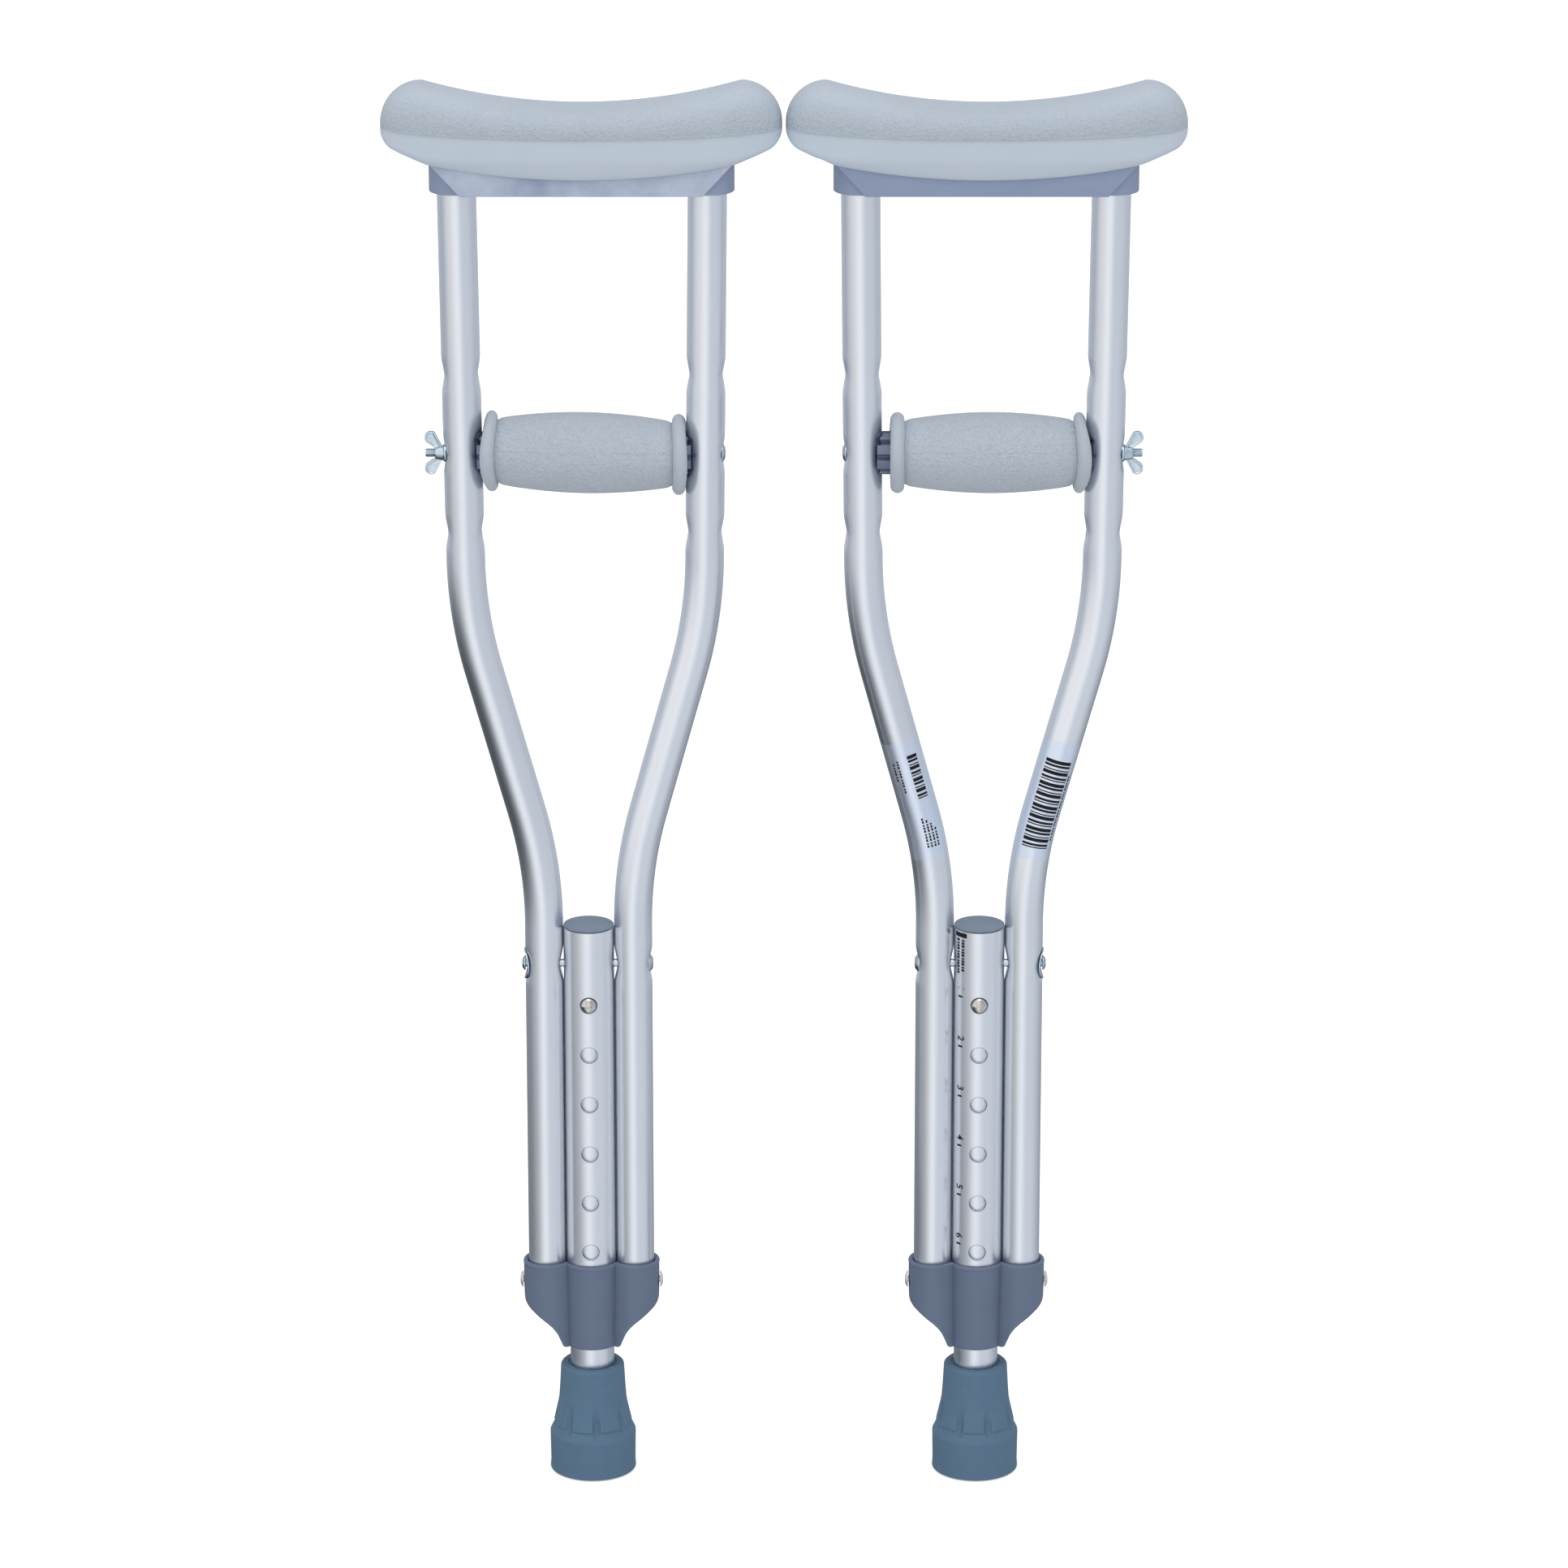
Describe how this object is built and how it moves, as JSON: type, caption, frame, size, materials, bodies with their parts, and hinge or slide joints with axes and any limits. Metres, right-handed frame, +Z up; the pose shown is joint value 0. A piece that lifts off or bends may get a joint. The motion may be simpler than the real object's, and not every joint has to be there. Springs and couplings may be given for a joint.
{
  "type": "underarm crutches",
  "caption": "Pair of height-adjustable aluminium underarm crutches with saddle pads, padded handgrips on bolts, snap-button legs and rubber tips.",
  "frame": {"origin": "on the floor, midway between the two rubber tips", "axes": "+Z up along the crutches, +X from the left crutch to the right one, -Y towards the front, where the snap buttons are"},
  "size_m": [0.3724, 0.0418, 0.6906],
  "materials": {
    "aluminium": "satin anodised drawn tube",
    "rivet_aluminium": "bright rivet head",
    "pad_foam": "grey-green moulded foam with fine leather-like grain",
    "grip_foam": "grey-green moulded sleeve with fine leather-like grain",
    "grey_plastic": "blue-grey injection-moulded plastic, semi-matt",
    "tip_rubber": "blue-grey moulded rubber",
    "zinc_steel": "bright zinc plated steel",
    "chrome": "nickel-chrome plated button",
    "spring_steel": "spring steel strip"
  },
  "bodies": {
    "left_frame": {"left_underarm_pad": "pad_foam", "left_pad_cradle": "grey_plastic", "left_outer_side_tube": "aluminium", "left_inner_side_tube": "aluminium", "left_centre_tube": "aluminium", "left_centre_tube_cap": "grey_plastic", "left_frame_rivet": "zinc_steel", "left_frame_rivet_washer": "zinc_steel", "left_collar": "grey_plastic", "left_collar_rivet_outer": "rivet_aluminium", "left_collar_rivet_inner": "rivet_aluminium"},
    "left_leg": {"left_extension_tube": "aluminium", "left_rubber_tip": "tip_rubber", "left_tip_washer": "zinc_steel", "left_snap_spring": "spring_steel"},
    "left_button": {"left_snap_button": "chrome"},
    "left_grip": {"left_grip_bolt": "zinc_steel", "left_grip_core": "grey_plastic", "left_grip_sleeve": "grip_foam"},
    "left_nut": {"left_wing_nut": "zinc_steel"},
    "right_frame": {"right_underarm_pad": "pad_foam", "right_pad_cradle": "grey_plastic", "right_outer_side_tube": "aluminium", "right_inner_side_tube": "aluminium", "right_centre_tube": "aluminium", "right_centre_tube_cap": "grey_plastic", "right_frame_rivet": "zinc_steel", "right_frame_rivet_washer": "zinc_steel", "right_collar": "grey_plastic", "right_collar_rivet_outer": "rivet_aluminium", "right_collar_rivet_inner": "rivet_aluminium"},
    "right_leg": {"right_extension_tube": "aluminium", "right_rubber_tip": "tip_rubber", "right_tip_washer": "zinc_steel", "right_snap_spring": "spring_steel"},
    "right_button": {"right_snap_button": "chrome"},
    "right_grip": {"right_grip_bolt": "zinc_steel", "right_grip_core": "grey_plastic", "right_grip_sleeve": "grip_foam"},
    "right_nut": {"right_wing_nut": "zinc_steel"}
  },
  "joints": [
    {"name": "left_height_adjust", "type": "slide", "parent": "left_leg", "child": "left_frame", "axis": [0, 0, 1], "range_m": [0, 0.127], "deforming": ["left_snap_button", "left_snap_spring"]},
    {"name": "left_button_press", "type": "slide", "parent": "left_leg", "child": "left_button", "axis": [0, 1, 0], "range_m": [0, 0.0045], "stiffness_N_per_m": 800, "springref_m": -0.002, "deforming": ["left_snap_spring"]},
    {"name": "left_grip_height", "type": "slide", "parent": "left_frame", "child": "left_grip", "axis": [0, 0, 1], "range_m": [-0.0381, 0.0381], "stiffness_N_per_m": 5, "springref_m": 0.2286, "deforming": ["left_grip_bolt", "left_wing_nut"]},
    {"name": "left_wing_nut_turn", "type": "hinge", "parent": "left_grip", "child": "left_nut", "pos_m": [-0.0935, 0, 0.5141], "axis": [1, 0, 0], "continuous": true},
    {"name": "crutches_apart", "type": "slide", "parent": "left_leg", "child": "right_leg", "axis": [1, 0, 0], "range_m": [0, 0.3]},
    {"name": "right_height_adjust", "type": "slide", "parent": "right_leg", "child": "right_frame", "axis": [0, 0, 1], "range_m": [0, 0.127], "deforming": ["right_snap_button", "right_snap_spring"]},
    {"name": "right_button_press", "type": "slide", "parent": "right_leg", "child": "right_button", "axis": [0, 1, 0], "range_m": [0, 0.0045], "stiffness_N_per_m": 800, "springref_m": -0.002, "deforming": ["right_snap_spring"]},
    {"name": "right_grip_height", "type": "slide", "parent": "right_frame", "child": "right_grip", "axis": [0, 0, 1], "range_m": [-0.0381, 0.0381], "stiffness_N_per_m": 5, "springref_m": 0.2243, "deforming": ["right_grip_bolt", "right_wing_nut"]},
    {"name": "right_wing_nut_turn", "type": "hinge", "parent": "right_grip", "child": "right_nut", "pos_m": [0.0935, 0, 0.5141], "axis": [1, 0, 0], "continuous": true}
  ]
}
